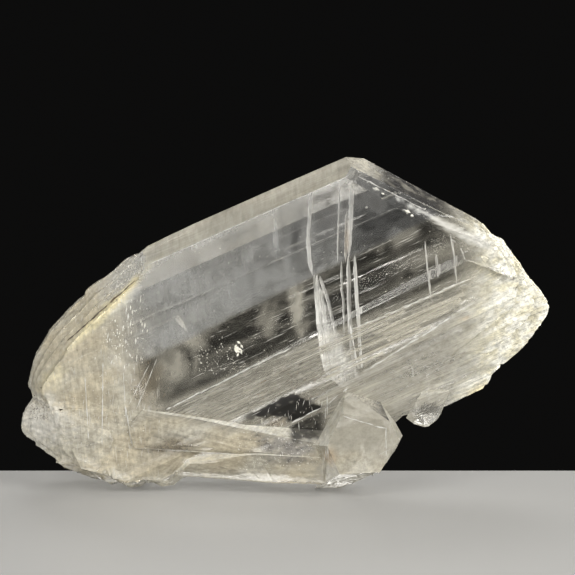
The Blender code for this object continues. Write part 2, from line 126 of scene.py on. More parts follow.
# Soft ovals on the skin: strength, x, z, half length, half width, angle, softness and border.
CLEAR_PLACES = [
    (1, 2.6, 58.3, 1.9, 7.2, 0, 0.8, THREADY),
    (0.8, 8.8, 61.4, 3.4, 6.6, 0, 0.7, PATCHY),
    (1, 18.4, 63.6, 5.6, 3.4, -10, 0.7, PATCHY),
]
VEILS = [
    (1, 3.1, 41.6, 10.5, 3.3, -82, 0.95, THREADY),
    (0.5, 28.5, 52, 8, 3.6, C_AXIS, 0.9, PATCHY),
    (0.6, -3, 38.5, 4.6, 5.4, C_AXIS, 0.9, PATCHY),
    (0.55, 25.5, 57.5, 9, 3.6, C_AXIS, 0.9, PATCHY),
    (0.7, -20, 34.5, 6, 4.5, C_AXIS, 0.9, PATCHY),
    (0.8, -25, 28, 12, 7, 35, 1, (0.5, 1, 0)),
]
UPRIGHT_VEILS = [
    (1, -1.6, 58, 8.5, 1.3, -88, 0.8, THREADY),
    (0.8, 0.7, 52.5, 7, 1, -88, 0.8, THREADY),
]
# Painted shade: a dark place under the upper long edge, and fainter ones round it.
PAINTED_SHADE_PLACE = (1, 11, 65, 15, 6.4, C_AXIS, 0.6, (0, 0.5, 0))
FAINT_PAINTED_SHADE = [
    (0.75, -0.4, 58.7, 7, 1.5, -88, 0.9, THREADY),
    (0.7, 9.3, 60.5, 8, 1.9, -88, 0.8, THREADY),
    (0.45, -15.2, 50.3, 8, 3, C_AXIS, 0.9, PATCHY),
    (0.6, -6.5, 58, 4, 1.2, -88, 0.9, THREADY),
    (0.45, -20, 51.8, 5, 2, -70, 0.9, THREADY),
    (0.75, 19.4, 64.2, 3.8, 2.6, -10, 0.8, PATCHY),
]
# Painted dark: a small window near the base, painted in as a dark view through the crystal.
SMALL_PAINTED_DARK = (0.9, -7.4, 17.5, 1.7, 1.6, 0, 0.6, (0, 0, 0.6))
TAN_LUMP = (1, -1.9, 16.3, 2.7, 1.5, -6, 0.5, (0, 0, 0.8))
GREY_PLACE = (1, 0.5, 11, 9.5, 4.6, -8, 0.9, RAGGED)
DIM_PLACE = (1, 29, 30, 11, 6, C_AXIS, 1, PATCHY)
FAN_HAZE = (1, 12.9, 30, 7.6, 2.7, -62, 0.95, (0, 1.3, 0))
# The ledge crest at the left: a cream tint with a painted highlight on it.
CREAM_LEDGE_AND_HIGHLIGHT = (1, -35, 43.6, 7, 2.2, 45, 0.6, PATCHY)
FOOT = (1, 17.2, 11, 11, 12, 0, 0.1, EVEN)
KNOB = (1, 31.4, 17.8, 3.6, 2.6, 0, 0.3, EVEN)
CORNER = (1, -53, 16.5, 9, 7.5, -20, 0.8, RAGGED)
BROWN_STAINS = [
    (1, -29.6, 25, 4.6, 6.8, -12, 0.9, PATCHY),
    (1, -24.5, 11.2, 8, 2.6, 5, 0.9, PATCHY),
]
# The first row runs down the ledge crest at the left, a yellow tint with a painted highlight; the others
# are stains.
YELLOW_STAINS_AND_LEDGE_HIGHLIGHT = [
    (1, -38.3, 40.9, 19, 1.5, 45.5, 0.7, (0.4, 0, 0)),
    (0.9, 42.2, 22.6, 4.6, 2.4, 34, 0.9, PATCHY),
    (0.6, -50, 26, 3, 5, -40, 0.9, PATCHY),
]
RUST_STAINS = [
    (1, 10.1, 9.6, 2.2, 2.6, 0, 0.9, PATCHY),
    (1, 39.4, 39.1, 1.6, 0.8, 10, 0.9, EVEN),
]

# Soft streaks on the skin: strength, from x, z to x, z, width, softness and border.
# A cream tint with a painted highlight, down the ledge crest at the left.
CREAM_TAIL_AND_HIGHLIGHT = (0.7, -33, 45.2, -50, 29.6, 2.4, 0.8, PATCHY)
END_STRIPS = [
    (1, 14.5, 70.6, 53, 50, 1.3, 0.8, RAGGED),
    (1, 24, 65.4, 57, 48, 4.2, 0.9, (0, 0, 0.8)),
]

# Lines kept free of the painted shade, for the cracks: from x, z to x, z, and the width.
CRACK_LINES = [
    (5.9, 69, 5.2, 46, 1.8),
    (12.1, 70, 11.6, 48, 1.2),
    (14.7, 72, 14, 50, 2.2),
]

# Slivers: count, then x, z, depth behind the front, angle, length and width, each from and to.
STEEPEST = 1.5  # how much deeper one tip of a sliver may lie than the other
LINE_STEP = 1.1  # between the slivers of a broken line
ON_SURFACE = -0.06  # behind the front, so just outside it
ALONG_C = (C_AXIS - 2, C_AXIS + 3)
ANY_WAY = (0, 180)
LOWER_NEEDLES = (2800, (-30, 46), (6, 50), (-0.03, 1.6), ALONG_C, (0.6, 6), (0.04, 0.1))
CLEAR_NEEDLES = (260, (-20, 40), (26, 58), (0.5, 9), ALONG_C, (1, 9), (0.04, 0.1))
LEFT_FIBRES = [
    (420, (-50, -31), (4, 48), (-0.04, 0.2), (84, 97), (0.5, 3.4), (0.05, 0.13)),
    (300, (-48, -27), (4, 26), (-0.04, 0.2), (78, 99), (0.5, 5), (0.05, 0.12)),
]
SHORT_FLECKS = (70, (-37.5, -30.5), (28, 44), (-0.05, 0.1), (70, 110), (0.3, 1.3), (0.15, 0.4))
SPECKS = [
    (40, (-39.5, -34), (31, 37), (-0.05, 0.1), (60, 120), (0.2, 0.9), (0.15, 0.35)),
    (420, (-52, -29), (10, 46), (-0.05, 0.1), ANY_WAY, (0.12, 0.4), (0.08, 0.18)),
    (300, (-22, 42), (24, 58), (0.4, 8), ANY_WAY, (0.1, 0.4), (0.08, 0.2)),
    (60, (-5, 9), (13, 21), (-0.07, -0.05), (70, 110), (0.2, 2.4), (0.06, 0.14)),
    (110, (-18.5, -8), (27, 33), (0.4, 2.2), ANY_WAY, (0.15, 0.8), (0.06, 0.16)),
    (230, (-10, 8), (6, 14.5), (-0.07, -0.04), ANY_WAY, (0.1, 0.5), (0.06, 0.16)),
]
END_SPECKS = (420, (15, 46), (52, 74), (-0.03, 0.8), ANY_WAY, (0.12, 0.55), (0.08, 0.2))
ALONG_C_MARKS = [
    (200, (-24, 40), (16, 46), (-0.04, 0.1), (C_AXIS - 2, C_AXIS + 6), (0.3, 2), (0.05, 0.15)),
    (90, (-10, 12), (20, 28), (-0.04, 0.1), (C_AXIS - 2, C_AXIS + 6), (0.4, 2.4), (0.06, 0.16)),
]
LEFT_MARKS = [
    (60, (-34, -24), (10, 30), (-0.04, 0.1), (60, 110), (0.2, 0.9), (0.08, 0.2)),
    (70, (-31, -18), (9, 13), (-0.04, 0.1), (-10, 30), (0.2, 1.4), (0.06, 0.2)),
]
COMB_MARKS = (60, (-4, 9), (20.5, 27), (-0.06, 0), (C_AXIS, C_AXIS + 12), (0.4, 1.5), (0.08, 0.22))
CORNER_MARKS = (170, (-55.4, -51), (16.6, 21), (-0.08, 0), ANY_WAY, (0.15, 0.5), (0.1, 0.22))
END_MARKS = (70, (18, 46), (54, 72), (0.05, 0.4), (-35, -20), (0.3, 1.5), (0.12, 0.35))

# Broken lines of slivers: from x, z to x, z, and the width. The bright ones are painted glints along edges,
# steps and zone borders.
PAINTED_GLINT_LINES = [
    (-25.1, 19.3, 1.2, 32.4, 0.45), (17.6, 27.2, 36, 38.8, 0.4), (14, 36, 40, 47.6, 0.35),
    (9.5, 19.6, 15, 24.4, 0.5), (1.8, 15.5, 8.4, 19, 0.4), (14.4, 36.6, 16.2, 27.2, 0.6),
    (16.4, 37, 16.9, 28, 0.4), (-33, 49.3, 15.6, 71.1, 0.16), (12.2, 19, 22, 15.9, 0.3),
    (22, 15.7, 22.2, 6.4, 0.22), (12, 5.6, 21.8, 5.8, 0.2), (16, 70.1, 30, 62.9, 0.25),
    (-34.3, 19.4, -32.8, 10, 0.3), (-39.2, 29.6, -39.5, 11, 0.35), (-43.1, 26, -42.4, 12, 0.3),
    (-34.8, 27, -34.3, 17, 0.25), (-27.9, 29.3, -31.9, 19.4, 0.2), (-29.4, 28.6, -33.4, 20.6, 0.2),
    (9.4, 20.5, 9.6, 5, 0.5), (9, 19, 9.2, 7, 0.5),
]
DARK_DASHES = [(-5.1, 24.7, -2.7, 26, 0.4), (-0.9, 26.9, 1.7, 28.1, 0.35), (3, 28.8, 4.2, 29.3, 0.3)]
# Painted shadow: a dark line under the broken edge of the front layer at the left.
LEDGE_SHADOW_LINE = (-31.6, 47.7, -47.5, 33.2, 0.4)

# Single bright flecks: x, z and length.
LEFT_FLECKS = [
    (-34.1, 41, 2.4), (-33.7, 39.6, 1.7), (-33.2, 38, 1.9), (-38.1, 35.3, 1.8), (-37.7, 34.5, 0.9),
    (-33, 36.1, 1.2), (-32.1, 34.2, 1.5), (-31.9, 30.5, 1.9), (-34.6, 28.4, 1.2), (-33.6, 28.9, 0.9),
    (-31, 43.2, 1.2), (-30.1, 37.6, 1.4), (-29.6, 36.4, 1), (-36.5, 38.6, 0.8), (-40.9, 30.4, 0.8),
]
DEEP_FLECKS = [(17.8, 63.3, 0.7), (22.2, 48.7, 0.45), (22, 44.9, 0.35), (13.4, 68.6, 0.7)]
END_FLECKS = [(19.8, 67.2, 1.7), (21.3, 66.2, 0.9), (26.6, 62.4, 1.5), (27.6, 61.6, 0.8)]
CLUSTER = (-10.1, 32.4)  # the bright fleck in the clear band
CLUSTER_SIZE = 14

# The near-upright cracks: left edge, width, opacity, and how far each reaches behind its left edge.
CRACKS = [
    ([(5.5, 66.8), (5.2, 61.9), (4.8, 56.3), (5.2, 51.4), (5.8, 48.5)], 0.75, 0.8, 5),
    ([(11.8, 67.5), (11.6, 59.7), (11.4, 51.4)], 0.32, 0.85, 4),
    ([(12.2, 51.2), (12.3, 45.2), (12.7, 42.9), (12.9, 34)], 0.42, 0.85, 4),
    ([(14, 67.9), (14, 64.2), (13.9, 60.8), (13.6, 56.3), (13.6, 52.5)], 1.05, 0.7, 6),
    ([(13.2, 62.5), (13.1, 56.3), (13, 51.4)], 0.7, 0.6, 5),
    ([(13.4, 52.3), (13.6, 47.4), (13.7, 40.7), (14.1, 34), (15.2, 25.5)], 0.85, 1, 6),
    ([(14.9, 52.5), (15.1, 48.5), (15.4, 42.9), (15.8, 38.5), (16.1, 32.9), (16.5, 28)], 0.7, 0.8, 5),
    ([(6.3, 48.5), (6.7, 42.9), (7.4, 36.2), (7.8, 29.6)], 0.4, 0.9, 4),
    ([(6.8, 48.3), (7.9, 42), (8.8, 35), (10.5, 25.1)], 0.5, 0.5, 4),
    ([(7.4, 48), (9.2, 43), (10.8, 36), (13, 27)], 0.6, 0.5, 5),
    ([(30.3, 55.7), (30.9, 49.6), (31.8, 42.5)], 0.3, 0.7, 4),
    ([(32.6, 53), (33.2, 47.4)], 0.5, 0.4, 3),
    ([(35.8, 57.4), (36.6, 53), (37.3, 46.3)], 0.32, 0.8, 4),
    ([(38, 54.5), (39.3, 51.4)], 0.25, 0.6, 2),
    ([(30.9, 26.5), (31.3, 20.2)], 0.4, 0.9, 2.5),
    ([(27.6, 28.1), (28.1, 24.1)], 0.3, 0.5, 2),
    ([(37.1, 27), (38, 20.7)], 0.3, 0.5, 2),
]
FAN = (  # left edge, right edge, opacity, how far it reaches back, columns
    [(6.4, 48.3), (7.2, 36), (8.6, 27.5), (12.6, 22.6)],
    [(8, 48.3), (12, 36.5), (15.8, 28), (16.9, 24)],
    1,
    4,
    16,
)
CRACK_COLUMNS = 5
CRACK_ROWS = 28
CRACK_THICKNESS = 0.06
CRACK_START = 0.35  # how far a crack's left edge lies behind the front
IRON_STAIN = (13.5, 56.5, 0.9, 6)  # the orange stain on one crack: x, z, half width, half height

NEEDLE_SEED = 7
SPECK_SEED = 19
MARK_SEED = 31
CRACK_SEED = 43

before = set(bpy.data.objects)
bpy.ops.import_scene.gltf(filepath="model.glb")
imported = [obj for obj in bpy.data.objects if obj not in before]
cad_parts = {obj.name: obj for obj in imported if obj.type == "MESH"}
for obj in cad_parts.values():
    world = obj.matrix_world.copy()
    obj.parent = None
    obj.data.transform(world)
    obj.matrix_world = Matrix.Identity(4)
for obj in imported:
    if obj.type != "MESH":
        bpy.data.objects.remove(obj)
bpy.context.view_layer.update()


class Shade:
    """A procedural material, built up node by node. Lengths are in millimetres."""

    def __init__(self, name):
        self.material = bpy.data.materials.new(name)
        self.material.use_nodes = True
        self.tree = self.material.node_tree
        self.tree.nodes.clear()
        self.out = self.node("ShaderNodeOutputMaterial")
        coords = self.node("ShaderNodeTexCoord")
        scaled = self.node("ShaderNodeVectorMath", operation="SCALE")
        self.link(coords.outputs["Object"], scaled.inputs[0])
        scaled.inputs["Scale"].default_value = 1 / MM
        self.place = scaled.outputs[0]

    def node(self, kind, **settings):
        made = self.tree.nodes.new(kind)
        for key, value in settings.items():
            setattr(made, key, value)
        return made

    def link(self, source, target):
        self.tree.links.new(source, target)

    def feed(self, value, target):
        """Plugs in a socket, or sets a plain value."""
        if isinstance(value, bpy.types.NodeSocket):
            self.link(value, target)
        else:
            target.default_value = value

    def math(self, operation, a, b=0, clamp=False):
        made = self.node("ShaderNodeMath", operation=operation, use_clamp=clamp)
        self.feed(a, made.inputs[0])
        self.feed(b, made.inputs[1])
        return made.outputs[0]

    def add(self, a, b):
        return self.math("ADD", a, b)

    def times(self, a, b):
        return self.math("MULTIPLY", a, b)

    def most(self, a, b):
        return self.math("MAXIMUM", a, b)

    def stored(self, name):
        """The colour and the alpha stored on the mesh under this name."""
        made = self.node("ShaderNodeAttribute", attribute_name=name)
        return made.outputs["Color"], made.outputs["Alpha"]

    def value(self, name):
        """The single value stored on the mesh under this name."""
        return self.node("ShaderNodeAttribute", attribute_name=name).outputs["Fac"]

    def parts(self, colour):
        """The red, green and blue of a colour."""
        made = self.node("ShaderNodeSeparateColor")
        self.link(colour, made.inputs[0])
        return made.outputs[0], made.outputs[1], made.outputs[2]

    def along(self, direction):
        """How far the point lies along this direction."""
        made = self.node("ShaderNodeVectorMath", operation="DOT_PRODUCT")
        self.link(self.place, made.inputs[0])
        made.inputs[1].default_value = direction
        return made.outputs["Value"]

    def rise(self, value, low, high, start=0, end=1):
        """A smooth step from start to end while the value goes from low to high."""
        made = self.node("ShaderNodeMapRange", interpolation_type="SMOOTHSTEP")
        self.feed(value, made.inputs["Value"])
        for socket, number in (("From Min", low), ("From Max", high), ("To Min", start), ("To Max", end)):
            self.feed(number, made.inputs[socket])
        return made.outputs["Result"]

    def stretched(self, degrees, sizes, shift=0):
        """The place with the plane turned to this angle and divided by the sizes along, through, across."""
        turn = self.node("ShaderNodeVectorRotate", rotation_type="Y_AXIS")
        self.link(self.place, turn.inputs["Vector"])
        turn.inputs["Angle"].default_value = math.radians(degrees)
        divide = self.node("ShaderNodeVectorMath", operation="DIVIDE")
        self.link(turn.outputs[0], divide.inputs[0])
        divide.inputs[1].default_value = sizes
        move = self.node("ShaderNodeVectorMath", operation="ADD")
        self.link(divide.outputs[0], move.inputs[0])
        move.inputs[1].default_value = (shift, shift * 0.7, shift * 1.3)
        return move.outputs[0]

    def noise(self, degrees, sizes, shift=0, detail=4, rough=0.55, bend=0):
        made = self.node("ShaderNodeTexNoise")
        self.link(self.stretched(degrees, sizes, shift), made.inputs["Vector"])
        made.inputs["Scale"].default_value = 1
        made.inputs["Detail"].default_value = detail
        made.inputs["Roughness"].default_value = rough
        made.inputs["Distortion"].default_value = bend
        return made.outputs["Fac"]

    def blend(self, share, a, b):
        """Colour a where share is 0 and colour b where it is 1."""
        made = self.node("ShaderNodeMix", data_type="RGBA")
        self.feed(share, made.inputs["Factor"])
        for value, target in ((a, made.inputs[6]), (b, made.inputs[7])):
            if isinstance(value, tuple):
                value = (*value, 1)
            self.feed(value, target)
        return made.outputs[2]

    def bump(self, height, depth, strength):
        made = self.node("ShaderNodeBump")
        made.inputs["Strength"].default_value = strength
        made.inputs["Distance"].default_value = depth * MM
        self.link(height, made.inputs["Height"])
        return made.outputs[0]

    def principled(self, **values):
        made = self.node("ShaderNodeBsdfPrincipled")
        for name, value in values.items():
            socket = made.inputs[name.replace("_", " ")]
            if isinstance(value, tuple):
                value = (*value, 1)
            self.feed(value, socket)
        self.link(made.outputs[0], self.out.inputs["Surface"])
        return made


def rise(value, low, high, start=0, end=1):
    """A smooth step from start to end while the value goes from low to high."""
    share = np.clip((value - low) / (high - low), 0, 1)
    return start + (end - start) * share * share * (3 - 2 * share)


def blend(share, a, b):
    """Colour a where share is 0 and colour b where it is 1."""
    share = share[:, None]
    return np.asarray(a) * (1 - share) + np.asarray(b) * share


def most(*values):
    """The largest of the values at each corner."""
    return np.maximum.reduce(values)


def clamp(value):
    return min(1, max(0, value))


def above(x, z, x0, z0, degrees):
    """How far x, z lies above the line through x0, z0 at this angle."""
    angle = math.radians(degrees)
    return (z - z0) * math.cos(angle) - (x - x0) * math.sin(angle)


class Field:
    """Values over a mesh's face corners, by where they are seen through the front face, in millimetres."""

    def __init__(self, mesh):
        flat = np.empty(len(mesh.vertices) * 3)
        mesh.vertices.foreach_get("co", flat)
        self.points = flat.reshape(-1, 3) / MM
        self.owner = np.empty(len(mesh.loops), dtype=int)
        mesh.loops.foreach_get("vertex_index", self.owner)
        self.x, self.y, height = self.points[self.owner].T
        self.z = height + LIFT * (self.y - FRONT)

    def offset(self, x, z, degrees):
        """How far each corner lies from x, z along this direction, and above it."""
        angle = math.radians(degrees)
        dx, dz = self.x - x, self.z - z
        return dx * math.cos(angle) + dz * math.sin(angle), dz * math.cos(angle) - dx * math.sin(angle)

    def beyond(self, x, z, degrees, soft, wobble=0):
        """1 above the line through x, z at this angle and 0 below it, over a soft band."""
        return rise(self.offset(x, z, degrees)[1] + wobble, -soft / 2, soft / 2)

    def spot(self, x, z, length, width, degrees, soft, wobble=0):
        """1 inside an oval of these half sizes round x, z, fading out over soft of its size."""
        along, over = self.offset(x, z, degrees)
        return rise(np.hypot(along / length, over / width) + wobble, 1 - soft, 1, 1, 0)

    def streak(self, x0, z0, x1, z1, width, soft, wobble=0):
        """1 along the line between two places, thinning out towards its ends."""
        length = math.hypot(x1 - x0, z1 - z0)
        degrees = math.degrees(math.atan2(z1 - z0, x1 - x0))
        return self.spot((x0 + x1) / 2, (z0 + z1) / 2, length / 2, width / 2, degrees, soft, wobble)

    def noise(self, degrees, sizes, shift=0, octaves=4):
        """Soft noise round 0.5, with these sizes along the direction, through the blade and across."""
        angle = math.radians(degrees)
        x, y, z = self.points.T
        turned = (x * math.cos(angle) + z * math.sin(angle), y, z * math.cos(angle) - x * math.sin(angle))
        places = np.stack(turned, axis=1) / np.array(sizes) + shift
        values = [noise.fractal(place, 1, 2, octaves) for place in places.tolist()]
        return 0.5 + 0.27 * np.array(values)[self.owner]


def add_to_scene(name, data):
    """A new object in the scene, from a mesh, a light or a camera."""
    obj = bpy.data.objects.new(name, data)
    bpy.context.scene.collection.objects.link(obj)
    return obj


def new_object(name, bm):
    mesh = bpy.data.meshes.new(name)
    bm.to_mesh(mesh)
    bm.free()
    return add_to_scene(name, mesh)


def part_of_crystal(obj, material):
    obj.data.materials.clear()
    obj.data.materials.append(material)
    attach(obj, "root")


def camera():
    """Level with the photograph: 10 degrees down, from about a metre."""
    data = bpy.data.cameras.new("camera")
    data.sensor_width = SENSOR
    data.lens = LENS
    data.clip_start = 0.05
    data.clip_end = 20
    obj = add_to_scene("camera", data)
    obj.location = CAMERA_PLACE
    obj.rotation_euler = (math.radians(CAMERA_PITCH), 0, 0)
    bpy.context.scene.camera = obj


def dome():
    """A soft light overhead that fades to a dark surround at the horizon."""
    world = bpy.data.worlds.new("studio")
    world.use_nodes = True
    bpy.context.scene.world = world
    nodes, links = world.node_tree.nodes, world.node_tree.links
    coords = nodes.new("ShaderNodeTexCoord")
    parts = nodes.new("ShaderNodeSeparateXYZ")
    links.new(coords.outputs["Generated"], parts.inputs[0])
    ramp = nodes.new("ShaderNodeMapRange")
    ramp.interpolation_type = "SMOOTHSTEP"
    links.new(parts.outputs["Z"], ramp.inputs["Value"])
    for name, value in DOME_FADE.items():
        ramp.inputs[name].default_value = value
    background = nodes["Background"]
    background.inputs["Color"].default_value = DOME_COLOUR
    links.new(ramp.outputs[0], background.inputs["Strength"])


def soft_light(name, place, aim, width, height, power):
    data = bpy.data.lights.new(name, "AREA")
    data.shape = "RECTANGLE"
    data.size = width
    data.size_y = height
    data.energy = power
    data.color = LAMP_COLOUR
    obj = add_to_scene(name, data)
    obj.location = place
    obj.rotation_euler = (Vector(aim) - Vector(place)).to_track_quat("-Z", "Y").to_euler()


def floor():
    """A pale plate under the crystal, with rounded corners."""
    bm = bmesh.new()
    bmesh.ops.create_cube(bm, size=1)
    bmesh.ops.scale(bm, vec=FLOOR_SIZE, verts=bm.verts)
    bmesh.ops.translate(bm, vec=FLOOR_PLACE, verts=bm.verts)
    bmesh.ops.bevel(bm, geom=bm.edges[:], offset=FLOOR_ROUNDING, segments=3, affect="EDGES")
    obj = new_object("floor", bm)
    shade = Shade("floor_paint")
    grain = shade.noise(0, (0.8, 0.8, 0.8), detail=3)
    shade.principled(Base_Color=FLOOR_COLOUR, Roughness=0.55, Normal=shade.bump(grain, 0.02, 0.2))
    obj.data.materials.append(shade.material)


def face_pair(degrees, lean):
    """The outward directions of the front and the back crystal face above an edge at this angle."""
    angle, tilt = math.radians(degrees + 90), math.radians(lean)
    x, y, z = math.cos(angle) * math.sin(tilt), math.cos(tilt), math.sin(angle) * math.sin(tilt)
    return [Vector((x, -y, z)), Vector((x, y, z))]


def faces_any(face, directions):
    return any(face.normal.dot(direction) > SAME_WAY for direction in directions)


def mark_facets(bm):
    """Marks each face: red on the upper prism faces, green on the end faces, blue where it is broken."""
    layer = bm.loops.layers.float_color.new("facet")
    prism = face_pair(C_AXIS, PRISM_LEAN)
    ends = face_pair(END_EDGE, END_LEAN)
    below = face_pair(C_AXIS + 180, PRISM_LEAN) + face_pair(LOWER_END_EDGE + 180, END_LEAN)
    for face in bm.faces:
        red, green = faces_any(face, prism), faces_any(face, ends)
        clean = red or green or faces_any(face, below)
        blue = abs(face.normal.y) < WALL_LIMIT and not clean
        for loop in face.loops:
            loop[layer] = (float(red), float(green), float(blue), 1)


def brokenness(x, z):
    """How near a place is to the broken ends and the base: 1 there, 0 on the clean faces."""
    left = -26 - 0.75 * (54 - z) if z > 28 else -45.5
    right_base = 9.5 + 0.52 * (min(x, 46) - 18) if x > 16 else 6
    nearest = max(left - x, x - 41.5, right_base - z)
    return clamp(nearest / 2.5)


def end_share(x, z):
    """1 on the narrow end faces along the upper right edge, 0 elsewhere."""
    return clamp((above(x, z, *APEX, END_EDGE) + 3.2) / 0.8) if x > 13 else 0


def rough_grain(place):
    """The edge length wanted here: short on the rough places, long on the clean faces."""
    share = max(brokenness(place.x, place.z), end_share(place.x, place.z))
    return GRAIN if share > 0.02 else SMOOTH_GRAIN


def skin_grain(place):
    """The edge length wanted here for the skin's clouds: shortest at the painted dark windows near the
    base.
    """
    if place.y > 2:
        return BACK_GRAIN
    if -9.5 < place.x < 9.5 and 11 < place.z < 23:
        return PAINTED_DARK_GRAIN
    return SKIN_GRAIN


def too_long(edge, grain):
    middle = (edge.verts[0].co + edge.verts[1].co) / (2 * MM)
    return edge.calc_length() > grain(middle) * MM * 1.35


def refine(bm, grain):
    """Splits the long edges until they're as short as the grain asks."""
    for _ in range(MOST_SPLITS):
        long = [edge for edge in bm.edges if too_long(edge, grain)]
        if not long:
            break
        bmesh.ops.subdivide_edges(bm, edges=long, cuts=1)
        corners = [face for face in bm.faces if len(face.verts) > 3]
        bmesh.ops.triangulate(bm, faces=corners)


def wear(bm):
    """Rounds the stepped layers of the left end, as on a worn break."""
    worn = [v for v in bm.verts if v.co.x < BROKEN_LEFT * MM and v.co.z > 4 * MM]
    worn = [v for v in worn if brokenness(v.co.x / MM, v.co.z / MM) > 0.3]
    for _ in range(WEAR_STEPS):
        bmesh.ops.smooth_vert(bm, verts=worn, factor=0.5, use_axis_x=True, use_axis_y=True, use_axis_z=True)


def press_in(bm, depth):
    """Moves every point in by its depth, in millimetres."""
    bm.normal_update()
    moves = [vertex.normal * depth(vertex) * MM for vertex in bm.verts]
    for vertex, move in zip(bm.verts, moves):
        vertex.co -= move


def roughness(vertex):
    """How far a point is worn in: thin cleaved layers on the broken walls, grain and flakes on the rest."""
    p = vertex.co / MM
    wall = max(0, 1 - 1.2 * abs(vertex.normal.y))
    lumps = 0.5 + 0.5 * noise.fractal(p * 0.35, 0.9, 2.1, 5)
    layers = 0.5 + 0.5 * noise.noise(Vector((p.x * 0.25, p.y * 2.6, p.z * 0.25)))
    grit = 0.5 + 0.5 * noise.noise(p * 1.7 + Vector((5, 0, 0)))
    flakes = 0.5 + 0.5 * noise.noise(Vector((p.x * 0.5 + p.z * 0.2, p.y, p.z * 1.3 - p.x * 0.6)))
    depth = 0.10 * grit + 0.28 * flakes + wall * (0.5 * lumps + 0.14 * layers + 0.14 * grit)
    depth = max(brokenness(p.x, p.z) * depth, end_share(p.x, p.z) * (0.05 + 0.14 * lumps * grit))
    depth *= 1 + 0.8 * wall * clamp((p.x - 38) / 4)
    return max(0, min(depth, DEEPEST_WEAR))


def grown_crystal():
    """The crystal's outer form, with its rough places worn in, as a mesh still open to edits."""
    bm = bmesh.new()
    bm.from_mesh(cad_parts["crystal_blade"].data)
    bmesh.ops.remove_doubles(bm, verts=bm.verts, dist=1e-6)
    bmesh.ops.recalc_face_normals(bm, faces=bm.faces)
    mark_facets(bm)
    refine(bm, rough_grain)
    wear(bm)
    press_in(bm, roughness)
    for face in bm.faces:
        middle = face.calc_center_median() / MM
        face.smooth = middle.x < BROKEN_LEFT and brokenness(middle.x, middle.z) > 0.5
    return bm


def crystal_material():
    """Clear selenite: glassy faces, frosted where it is broken."""
    shade = Shade("selenite_clear")
    prism, end, broken = shade.parts(shade.stored("facet")[0])
    behind = shade.rise(shade.along((0, 1, 0)), -1, 4)
    streaks = shade.noise(C_AXIS, (20, 4, 0.35))
    grit = shade.noise(C_AXIS, (1.6, 1.6, 0.5), detail=6)
    frost = shade.most(shade.times(broken, 0.4), shade.times(end, 0.16))
    frost = shade.most(frost, shade.times(shade.times(prism, behind), 0.2))
    surface = shade.principled(
        Base_Color=CLEAR,
        Roughness=shade.add(0.02, shade.times(frost, shade.rise(grit, 0.3, 0.7, 0.6, 1.2))),
        Transmission_Weight=1,
        Normal=shade.bump(streaks, 0.04, 0.5),
    )
    surface.inputs["IOR"].default_value = IOR
    volume = shade.node("ShaderNodeVolumeAbsorption")
    volume.inputs["Color"].default_value = ABSORPTION_COLOUR
    volume.inputs["Density"].default_value = ABSORPTION_DENSITY
    shade.link(volume.outputs[0], shade.out.inputs["Volume"])
    return shade.material


def crystal(bm):
    """The clear body, just under the skin."""
    inner = bm.copy()
    press_in(inner, lambda vertex: SKIN_GAP)
    obj = new_object("crystal_shell", inner)
    part_of_crystal(obj, crystal_material())
    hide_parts("crystal_blade")
    obj.visible_shadow = False


